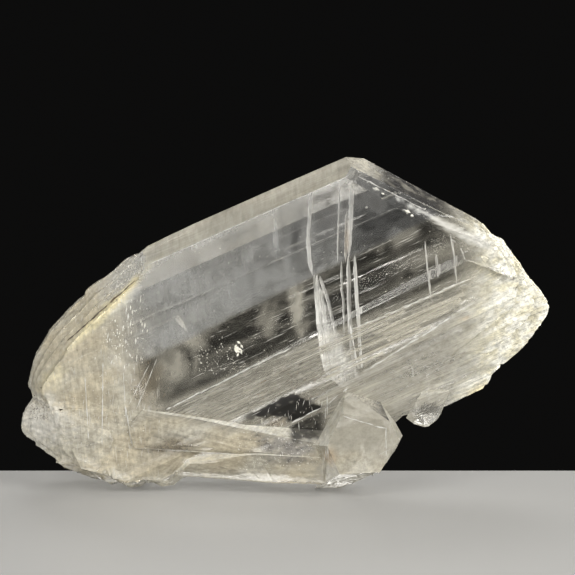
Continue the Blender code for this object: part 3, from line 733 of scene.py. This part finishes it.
class Coat(Field):
    """The skin's clouds: how milky each corner is, its colour, and how strong each fine texture is."""

    def __init__(self, mesh):
        super().__init__(mesh)
        flat = np.empty(len(mesh.loops) * 4)
        mesh.attributes["facet"].data.foreach_get("color", flat)
        self.bevel, self.end, self.broken = flat.reshape(-1, 4).T[:3]
        self.back = rise(self.y, -1, 4)
        self.front = 1 - self.back
        self.noises()
        self.zones()
        self.places()

    def noises(self):
        """Clouds, wisps and mottling, and the three noises that break up borders."""
        self.cloud = self.noise(C_AXIS, (16, 9, 6), 3)
        self.wisp = self.noise(C_AXIS, (22, 5, 1.4), 9, 5)
        self.mottle = self.noise(0, (2.6, 2.6, 3.4), 11, 5)
        self.fine = self.noise(20, (1.5, 1.5, 1), 17, 3)
        self.patchy = 1.6 * (self.mottle - 0.5)
        self.thready = 1.4 * (self.noise(-86, (6, 3, 1), 1) - 0.5)
        self.ragged = 1.6 * (self.fine - 0.5)

    def border(self, amounts):
        """The patchy, the thready and the ragged noise, in these amounts."""
        patchy, thready, ragged = amounts
        return patchy * self.patchy + thready * self.thready + ragged * self.ragged

    def oval(self, strength, x, z, length, width, degrees, soft, border):
        return strength * self.spot(x, z, length, width, degrees, soft, self.border(border))

    def ovals(self, rows):
        return most(*[self.oval(*row) for row in rows])

    def band(self, strength, x0, z0, x1, z1, width, soft, border):
        return strength * self.streak(x0, z0, x1, z1, width, soft, self.border(border))

    def zones(self):
        """The broad regions that the crystal's faces and its history give."""
        wave = 14 * (self.cloud - 0.5)
        leftness = self.x + wave + 5 * self.thready + 0.28 * (self.z - 30)
        self.left = 1 - rise(leftness, -38, -24)
        self.far_left = 1 - rise(leftness, -56, -44)
        self.right = rise(self.x + wave, 32.5, 48)
        self.upper = self.beyond(*MILKY_EDGE, 0.9)
        self.striated = 1 - self.beyond(*STRIATED_EDGE, 1.6)
        self.ledge = 1 - self.beyond(*LEDGE_EDGE, 0.8)
        self.low = 1 - self.beyond(*WEDGE_EDGE, 2.5, 1.6 * self.patchy)
        self.foot = self.oval(*FOOT) * (1 - rise(self.y, -9, -7.6))
        self.knob = self.oval(*KNOB)

    def places(self):
        """The smaller places that change the milk or the colour."""
        near_end = self.beyond(14.7, 56, END_EDGE, 9) * rise(self.x, 12, 17)
        self.windows = most(self.ovals(CLEAR_PLACES), near_end)
        self.brown = self.ovals(BROWN_STAINS)
        self.grey = self.oval(*GREY_PLACE) * self.low * (1 - self.foot)
        self.lump = self.oval(*TAN_LUMP)
        self.fan = self.oval(*FAN_HAZE)
        # The ledge crest at the left: cream tint with a painted highlight.
        self.cream = most(self.oval(*CREAM_LEDGE_AND_HIGHLIGHT), self.band(*CREAM_TAIL_AND_HIGHLIGHT))
        self.strip = most(*[self.band(*row) for row in END_STRIPS]) * (1 - self.end)
        # Painted shade: the end faces darkened to near black between x 17 and 43, less so at the back.
        end_painted_shade = self.end * rise(self.x, 17, 23) * (1 - rise(self.x, 32, 43))
        self.end_painted_shade = end_painted_shade * rise(self.y, 0, 6, 1, 0.45)

    # Painted dark: the upper window near the base, painted in as a dark view through the crystal.
    def upper_painted_dark(self):
        beyond, ragged = self.beyond, self.ragged
        under = (1 - beyond(-5.2, 19.2, 28, 0.7, ragged)) * (1 - beyond(8.3, 19.6, -26.2, 0.8, ragged))
        return under * beyond(1.5, 15.9, 25.4, 0.5) * beyond(-4.2, 17, -10, 0.8, ragged)

    # Painted dark: the lower window near the base, painted in as a dark view through the crystal.
    def lower_painted_dark(self):
        x = self.x + self.ragged
        level = (1 - self.beyond(1.8, 15.3, 25.4, 0.5)) * self.beyond(1.8, 11.9, 3, 2.4, 2 * self.ragged)
        across = rise(x, 0.6, 2.2) * (1 - rise(x, 7.6, 9.6))
        return 0.97 * level * across * rise(self.fine, 0.3, 0.6, 0.8, 1)

    def painted_dark_windows(self):
        """Painted dark near the base: windows painted in as a dark view through the clear crystal, parted
        by a bright line and a tan lump.
        """
        dark = most(self.upper_painted_dark(), self.lower_painted_dark(), self.oval(*SMALL_PAINTED_DARK))
        dark = dark * self.front * (1 - self.foot) * (1 - self.lump)
        return dark * rise(self.fine, 0.6, 0.8, 1, 0.72)

    def painted_shade(self):
        """Painted shade: a dark place under the upper long edge, between the cracks, and fainter ones round
        it.
        """
        painted_shade = self.oval(*PAINTED_SHADE_PLACE) * (1 - self.beyond(16.1, 71, C_AXIS, 0.8))
        for line in CRACK_LINES:
            painted_shade = painted_shade * (1 - self.streak(*line, 0.4))
        painted_shade = most(painted_shade * rise(self.mottle, 0.35, 0.65, 0.9, 0.55), self.ovals(FAINT_PAINTED_SHADE))
        return painted_shade * self.front * (1 - self.bevel) * (1 - self.end)

    def haze(self):
        """The milk of the upper part, with its clear windows and its upright veils."""
        under_bevel = self.beyond(17.1, 68.9, C_AXIS, 5, 2 * self.patchy)
        haze = self.upper * most(rise(self.cloud + self.mottle, 0.75, 1.25, 0.1, 0.36), 0.4 * under_bevel)
        return most(haze * (1 - 0.7 * self.windows), 0.5 * self.ovals(UPRIGHT_VEILS))

    def front_milk(self):
        """How opaque the skin is in front."""
        front = most(
            rise(self.wisp, 0.4, 0.7, 0.03, 0.16),
            0.5 * self.ovals(VEILS),
            self.haze(),
            0.34 * self.striated * rise(self.cloud + 0.4 * (self.fine - 0.5), 0.3, 0.65, 0.7, 1.15),
            self.ledge * rise(self.wisp, 0.35, 0.65, 0.44, 0.6),
        )
        front = front * (1 - self.low) + self.low * (0.64 - 0.16 * self.grey)
        front = most(front, self.left * rise(self.mottle, 0.35, 0.65, 0.62, 0.78))
        front = front * (1 - 0.3 * self.brown) * (1 - 0.3 * self.oval(*DIM_PLACE))
        return most(front, 0.82 * self.fan, 0.72 * self.strip)

    def back_milk(self):
        """How opaque the skin is at the back."""
        faded = rise(self.x, -30, 22, 0.4, 0.16)
        upper = self.upper * faded * rise(self.cloud, 0.3, 0.7, 0.8, 1.25) * (1 - 0.9 * self.windows)
        return most(upper, 0.32 * self.left, self.striated * rise(self.wisp, 0.35, 0.65, 0.06, 0.2))

    def end_milk(self):
        """How opaque the skin is at the two ends and on the broken walls."""
        ends = most(0.92 * self.right, 0.6 * self.far_left) * rise(self.cloud, 0.25, 0.65, 0.8, 1.05)
        walls = self.broken * rise(self.mottle, 0.3, 0.7, 0.45, 0.7) * rise(self.back, 0, 1, 1, 0.35)
        left_walls = 0.9 * self.broken * self.front * (1 - rise(self.x, -40, -34))
        return most(ends, walls, left_walls)

    def milk(self):
        """How opaque the skin is: the front and the back each have their own clouds."""
        milk = self.front_milk() * self.front + self.back_milk() * self.back
        milk = most(milk, self.end_milk(), 0.66 * self.foot, 0.92 * self.cream * self.front)
        milk = milk * (1 - 0.7 * self.knob)
        prism = rise(self.cloud, 0.3, 0.7, 0.5, 0.64) * rise(self.back, 0, 1, 1, 0.5)
        milk = milk + (prism - milk) * self.bevel
        milk = milk + (rise(self.mottle, 0.35, 0.65, 0.6, 0.82) - milk) * self.end
        return most(milk, 0.93 * self.end_painted_shade * rise(self.fine, 0.6, 0.8, 1, 0.6))

    def tints(self):
        """The colours laid over the bone, each with how much of it shows at every corner."""
        bleached = rise(self.mottle + self.noise(C_AXIS, (3, 2, 1.2), 21), 0.85, 1.15)
        walls = self.broken * rise(self.x, -40, -20, 0, 0.4)
        sunk = 0.7 * self.broken * (1 - rise(self.x, -44, -36)) * rise(self.z, 20, 26)
        cool = self.upper * (1 - self.bevel) * (1 - most(self.left, self.right)) * (1 - self.end)
        return [
            (most(self.left, self.low) * rise(self.cloud, 0.4, 0.65, 0, 0.6), TAN),
            (0.7 * self.brown, BROWN),
            (0.7 * self.grey, GREY),
            (most(self.right, self.cream, walls), blend(bleached, CREAM, BLEACHED)),
            (sunk, WORN_WALL),
            (cool, COOL_GREY),
            (0.8 * self.ovals(YELLOW_STAINS_AND_LEDGE_HIGHLIGHT), YELLOW),
            (0.55 * most(self.ovals(RUST_STAINS), 0.6 * self.lump), RUST),
            (self.end_painted_shade * rise(self.mottle, 0.5, 0.7, 1, 0.6), END_PAINTED_SHADE),
            (0.8 * most(self.fan, self.strip) * self.front, CHALK),
            (0.8 * self.oval(*CORNER), PALE_CORNER),
        ]

    def colour(self):
        """From cool grey in the clear part to tan and cream at the broken ends, with a few stains, painted
        shade on the end faces and a painted highlight along the left ledge crest.
        """
        dull = most(self.bevel, self.foot, self.low, self.left, self.end)
        colour = blend(dull * rise(self.mottle, 0.35, 0.65, 1, 0.7), BONE, DULL_BONE)
        for share, tint in self.tints():
            colour = blend(share, colour, tint)
        uneven = most(0.6 * self.left, 0.5 * self.low, 0.5 * self.right, 0.4 * self.foot)
        lined = 0.16 * self.striated * (1 - self.left) * (1 - self.low) * (1 - self.right)
        return colour * (1 + (self.fine - 0.5) * uneven - lined)[:, None]

    def textures(self, plain):
        """How strongly the lines, the upright fibres, the base's fibres and the grit show."""
        off_foot = 1 - self.foot
        hair = most(self.striated, 0.3 * self.upper, 0.35 * self.right, 0.3 * self.bevel)
        hair = hair * (1 - self.left) * (1 - self.low) * rise(self.cloud, 0.35, 0.65, 0.5, 1)
        hair = hair * off_foot * rise(self.x, 14, 34, 1, 0.65)
        fibre = most(0.4 * self.left * off_foot, 0.12 * self.foot, 0.9 * self.fan, 0.3 * self.upper)
        splint = 0.4 * self.low * off_foot
        lined = 0.4 * self.striated * rise(self.x, 10, 34)
        dull = most(0.4 * self.left, 0.25 * self.foot, 0.5 * self.low, 0.4 * self.broken)
        grit = most(0.9 * self.right, 0.9 * self.end, dull, lined)
        return np.stack([hair, fibre, splint, grit], axis=1) * (1 - plain)[:, None]

    def paint(self, mesh):
        """Stores the colour and the milk as coat, and how strong the textures are as weave."""
        # The painted dark windows and the painted shade, laid nearly opaque over the milk and its colour.
        dark, painted_shade = self.painted_dark_windows(), self.painted_shade()
        milk = most(self.milk(), 0.94 * dark, 0.72 * painted_shade)
        colour = blend(dark, blend(painted_shade, self.colour(), PAINTED_SHADE), PAINTED_DARK)
        coat = np.concatenate([colour, milk[:, None]], axis=1)
        for name, values in (("coat", coat), ("weave", self.textures(most(dark, painted_shade)))):
            layer = mesh.attributes.new(name, "FLOAT_COLOR", "CORNER")
            layer.data.foreach_set("color", values.ravel())


def milk_material():
    """The milky skin, with fine lines, fibres and grit over its clouds."""
    shade = Shade("selenite_milk")
    colour, milk = shade.stored("coat")
    weave, gritty = shade.stored("weave")
    hair, fibre, splint = shade.parts(weave)
    textures = [
        (hair, shade.noise(C_AXIS, (9, 4, 0.3), shift=5, detail=3, rough=0.7)),
        (fibre, shade.noise(-84, (4.5, 3, 0.8), shift=1, rough=0.6, bend=0.5)),
        (splint, shade.noise(-12, (7, 4, 1.1), shift=31, rough=0.6, bend=0.6)),
        (gritty, shade.noise(20, (1.1, 0.9, 0.8), shift=2, rough=0.68)),
    ]
    relief = 0
    for strength, texture in textures:
        relief = shade.add(relief, shade.times(strength, shade.math("SUBTRACT", texture, 0.5)))
    toned = shade.node("ShaderNodeVectorMath", operation="SCALE")
    shade.link(colour, toned.inputs[0])
    shade.link(shade.add(1, shade.times(relief, 1.6)), toned.inputs["Scale"])
    opacity = shade.times(milk, shade.add(1, shade.times(relief, 1.7)))
    shade.principled(
        Base_Color=toned.outputs[0],
        Roughness=shade.add(0.5, shade.times(relief, 0.4)),
        Alpha=shade.math("MINIMUM", opacity, 0.97, clamp=True),
        Specular_IOR_Level=0.3,
        Normal=shade.bump(relief, 0.3, 0.8),
    )
    return shade.material


def milk_skin(bm):
    """The outer skin, which carries the milky clouds and the frost."""
    skin = bm.copy()
    refine(skin, skin_grain)
    obj = new_object("milk_skin", skin)
    Coat(obj.data).paint(obj.data)
    part_of_crystal(obj, milk_material())


def interior(bm):
    """Looks up how far the crystal reaches along Y at a place seen from the front, in mm."""
    tree = BVHTree.FromBMesh(bm)

    def reach(x, z):
        ends = []
        for y, way in ((-0.03, 1), (0.03, -1)):
            hit = tree.ray_cast(Vector((x * MM, y, z * MM)), Vector((0, way, 0)))[0]
            if hit is None:
                return None
            ends.append(hit.y / MM)
        return ends

    return reach


class Slivers:
    """Many small double pyramids in one mesh: needles, fibres and specks inside the crystal."""

    def __init__(self, reach, seed):
        self.reach = reach
        self.rng = random.Random(seed)
        self.vertices = []
        self.faces = []

    def depth(self, x, z, behind):
        """The depth of a place this far behind the front, or None where the crystal is too thin."""
        ends = self.reach(x, z)
        if ends is None or ends[1] - ends[0] < behind + 0.6:
            return None
        return ends[0] + behind

    def add(self, x, z, behind, degrees, length, width, thickness):
        """One sliver, at this far behind the front, if the crystal holds both its tips."""
        angle = math.radians(degrees)
        tip = Vector((math.cos(angle), 0, math.sin(angle))) * length / 2
        first, last = [self.depth(x + tip.x * sign, z + tip.z * sign, behind) for sign in (-1, 1)]
        if first is None or last is None or abs(first - last) > STEEPEST:
            return
        tip.y = (last - first) / 2
        centre = Vector((x, (first + last) / 2, z))
        side = Vector((-math.sin(angle), 0, math.cos(angle))) * width / 2
        deep = Vector((0, thickness / 2, 0))
        start = len(self.vertices)
        self.vertices += [(centre + offset) * MM for offset in (-tip, tip, side, deep, -side, -deep)]
        for a, b in ((2, 3), (3, 4), (4, 5), (5, 2)):
            self.faces.append((start, start + b, start + a))
            self.faces.append((start + 1, start + a, start + b))

    def scatter(self, count, xs, zs, behind, degrees, length, width, keep=None):
        """Slivers at random in this box, with sizes between these limits."""
        rng = self.rng
        for _ in range(count):
            x, z = rng.uniform(*xs), rng.uniform(*zs)
            depth, turn, girth = [rng.uniform(*limits) for limits in (behind, degrees, width)]
            size = length[0] + (length[1] - length[0]) * rng.random() ** 2
            if keep is None or keep(x, z):
                self.add(x, z, depth, turn, size, girth, girth * 0.7)

    def line(self, x0, z0, x1, z1, width):
        """A broken bright or dark line of short slivers from one place to the other."""
        rng = self.rng
        length = math.hypot(x1 - x0, z1 - z0)
        degrees = math.degrees(math.atan2(z1 - z0, x1 - x0))
        for number in range(int(length / LINE_STEP)):
            share = (number + rng.uniform(0, 1)) * LINE_STEP / length
            drift = rng.uniform(-0.4, 0.4) * width
            x, z = x0 + (x1 - x0) * share, z0 + (z1 - z0) * share + drift
            size = width * rng.uniform(0.35, 1)
            turn, reach = degrees + rng.uniform(-4, 4), rng.uniform(1.4, 3.2)
            self.add(x, z, ON_SURFACE, turn, reach, size, size * 0.5)

    def finish(self, name, material):
        mesh = bpy.data.meshes.new(name)
        mesh.from_pydata(self.vertices, [], self.faces)
        mesh.update()
        part_of_crystal(add_to_scene(name, mesh), material)


def sliver_material(name, colour, other, alpha):
    shade = Shade(name)
    tone = shade.noise(0, (3, 3, 3), detail=3)
    shade.principled(
        Base_Color=shade.blend(shade.rise(tone, 0.35, 0.65), colour, other),
        Roughness=0.5,
        Alpha=shade.rise(tone, 0.3, 0.7, alpha, min(1, alpha + 0.3)),
        Specular_IOR_Level=0.2,
    )
    return shade.material


def under(x, z, line):
    """Whether a place lies under this line and over the broken wedge along the base."""
    return above(x, z, *line) < 0 < above(x, z, *WEDGE_EDGE)


def near_end(x, z, distance):
    """Whether a place lies less than this far under the end edge."""
    return above(x, z, *APEX, END_EDGE) > -distance


def growth_needles_and_glints(reach):
    """Fine lines along the c axis, upright fibres at the left end, and longer broken lines of painted
    glints.
    """
    fine = Slivers(reach, NEEDLE_SEED)
    fine.scatter(*LOWER_NEEDLES, keep=lambda x, z: under(x, z, NEEDLE_LIMIT))
    fine.scatter(
        *CLEAR_NEEDLES, keep=lambda x, z: above(x, z, *CLEAR_LIMIT) > 0 > above(x, z, *MILKY_EDGE)
    )
    for fibres in LEFT_FIBRES:
        fine.scatter(*fibres)
    # Painted glints: broken white lines along edges, steps and zone borders.
    for line in PAINTED_GLINT_LINES:
        fine.line(*line)
    fine.finish("growth_needles_and_glints", sliver_material("needle_and_glint_white", *NEEDLE_AND_GLINT_COLOURS, 0.45))


def bright_specks(reach):
    """Bright flecks and specks in the clear part, at the left end, at the base and on the end faces."""
    specks = Slivers(reach, SPECK_SEED)
    specks.scatter(*SHORT_FLECKS)
    for x, z, size in LEFT_FLECKS:
        specks.add(x, z, -0.08, 84 + 5 * math.sin(7 * x), size, 0.32 + 0.1 * math.sin(z), 0.3)
    for group in SPECKS:
        specks.scatter(*group)
    specks.scatter(*END_SPECKS, keep=lambda x, z: near_end(x, z, 4.6))
    for x, z, size in DEEP_FLECKS:
        specks.add(x, z, 1.6, 20, size, size * 0.7, size * 0.6)
    for x, z, size in END_FLECKS:
        specks.add(x, z, 0.5, -20, size, size * 0.6, size * 0.5)
    for number in range(CLUSTER_SIZE):
        turn, ring = number * 2.4, number % 3
        x, z = CLUSTER[0] + 0.5 * math.cos(turn) * ring, CLUSTER[1] + 0.7 * math.sin(turn) * ring
        specks.add(x, z, 1.2, 50 + 9 * number, 1, 0.5, 0.3)
    specks.finish("bright_specks", sliver_material("speck_white", *SPECK_COLOURS, 0.7))


def dark_marks(reach):
    """Small dark hollows and grains along the c axis, the speckled patch at the left corner, and a painted
    shadow line under the left ledge.
    """
    marks = Slivers(reach, MARK_SEED)
    for group in ALONG_C_MARKS:
        marks.scatter(*group, keep=lambda x, z: under(x, z, MARK_LIMIT))
    for group in LEFT_MARKS:
        marks.scatter(*group)
    for dash in DARK_DASHES:
        marks.line(*dash)
    marks.scatter(*COMB_MARKS, keep=lambda x, z: above(x, z, *COMB_LIMIT) > 0.4)
    marks.line(*LEDGE_SHADOW_LINE)
    marks.scatter(*CORNER_MARKS)
    marks.scatter(*END_MARKS, keep=lambda x, z: near_end(x, z, 3.6))
    marks.finish("dark_marks", sliver_material("mark_dark", *MARK_COLOURS, 0.5))


def feather_material():
    """White cleavage cracks with fine threads down their length."""
    shade = Shade("feather_white")
    thread = shade.noise(-87, (9, 1.2, 0.16), detail=5, rough=0.65)
    stain = shade.times(shade.value("stain"), shade.rise(thread, 0.4, 0.6, 0.9, 0.3))
    shade.principled(
        Base_Color=shade.blend(stain, FEATHER_WHITE, FEATHER_STAIN),
        Roughness=0.5,
        Alpha=shade.times(shade.value("strength"), shade.rise(thread, 0.34, 0.6, 0.3, 1)),
        Specular_IOR_Level=0.3,
    )
    return shade.material


def along_run(run, share):
    """The point this share of the way down a run of points."""
    place = share * (len(run) - 1)
    first = min(int(place), len(run) - 2)
    part = place - first
    return [a + (b - a) * part for a, b in zip(run[first], run[first + 1])]


def softened(grid):
    """A broad sheet's points, faded out towards its right side and its lower end."""
    faded = []
    for row, line in enumerate(grid):
        lower = min(1, 3 * (1 - row / (len(grid) - 1)) + 0.05)
        sides = [min(1, 2.2 * (1 - column / (len(line) - 1))) for column in range(len(line))]
        faded.append([(place, opacity * (side * lower)) for (place, opacity), side in zip(line, sides)])
    return faded


class Cracks:
    """Thin closed sheets in one mesh, each given by its left and right edge seen from the front."""

    def __init__(self, reach):
        self.reach = reach
        self.rng = random.Random(CRACK_SEED)
        self.bm = bmesh.new()
        self.strength = self.bm.verts.layers.float.new("strength")
        self.stain = self.bm.verts.layers.float.new("stain")

    def row(self, start, end, share, opacity, depth, columns):
        """The points from start to end with their opacity, or None outside the crystal."""
        (x0, z0), (x1, z1) = start, end
        ends = self.reach((x0 + x1) / 2, (z0 + z1) / 2)
        if ends is None:
            return None
        taper = min(1, 6 * share + 0.25, 5 * (1 - share) + 0.15)
        if columns > CRACK_COLUMNS:
            x1 -= (x1 - x0) * self.rng.uniform(0, 0.32)
        points = []
        for column in range(columns + 1):
            side = column / columns
            x = x0 + (x1 - x0) * (0.5 + (side - 0.5) * taper) + self.rng.uniform(-0.05, 0.05)
            place = (x, ends[0] + CRACK_START + depth * side, z0 + (z1 - z0) * side)
            points.append((place, opacity * min(1, 0.35 + taper)))
        return points

    def point(self, place, opacity, offset):
        """A corner of a sheet, this far to the right of its middle."""
        x, y, z = place
        vertex = self.bm.verts.new(((x + offset) * MM, y * MM, z * MM))
        vertex[self.strength] = opacity
        stain_x, stain_z, width, height = IRON_STAIN
        vertex[self.stain] = max(0, 1 - math.hypot((x - stain_x) / width, (z - stain_z) / height))
        return vertex

    def close(self, near, far):
        """Faces over both sides of a sheet and round its rim."""
        face, rows, columns = self.bm.faces.new, len(near) - 1, len(near[0]) - 1
        for i in range(rows):
            for j in range(columns):
                face((near[i][j], near[i + 1][j], near[i + 1][j + 1], near[i][j + 1]))
                face((far[i][j], far[i][j + 1], far[i + 1][j + 1], far[i + 1][j]))
            for j in (0, columns):
                face((near[i][j], far[i][j], far[i + 1][j], near[i + 1][j]))
        for j in range(columns):
            for i in (0, rows):
                face((near[i][j], near[i][j + 1], far[i][j + 1], far[i][j]))

    def sheet(self, left, right, opacity, depth, columns):
        """A thin sheet between two edges that slants back from the left one to the right one."""
        grid = []
        for number in range(CRACK_ROWS + 1):
            share = number / CRACK_ROWS
            row = self.row(along_run(left, share), along_run(right, share), share, opacity, depth, columns)
            if row is not None:
                grid.append(row)
        if columns > CRACK_COLUMNS:
            grid = softened(grid)
        sides = []
        for offset in (-CRACK_THICKNESS / 2, CRACK_THICKNESS / 2):
            sides.append([[self.point(*point, offset) for point in row] for row in grid])
        self.close(*sides)


def feathers(reach):
    """The near-upright cleavage cracks, and the broad fan beside them."""
    cracks = Cracks(reach)
    for run, width, opacity, depth in CRACKS:
        cracks.sheet(run, [(x + width, z) for x, z in run], opacity, depth, CRACK_COLUMNS)
    cracks.sheet(*FAN)
    bmesh.ops.recalc_face_normals(cracks.bm, faces=cracks.bm.faces)
    part_of_crystal(new_object("feathers", cracks.bm), feather_material())


camera()
dome()
for light in LIGHTS:
    soft_light(*light)
floor()
grown = grown_crystal()
crystal(grown)
milk_skin(grown)
inside = interior(grown)
growth_needles_and_glints(inside)
bright_specks(inside)
dark_marks(inside)
feathers(inside)

settings = bpy.context.scene
settings.view_settings.view_transform = "Standard"
settings.cycles.max_bounces = 10
settings.cycles.transmission_bounces = 10
settings.cycles.diffuse_bounces = 2
settings.cycles.glossy_bounces = 4
settings.cycles.transparent_max_bounces = 14
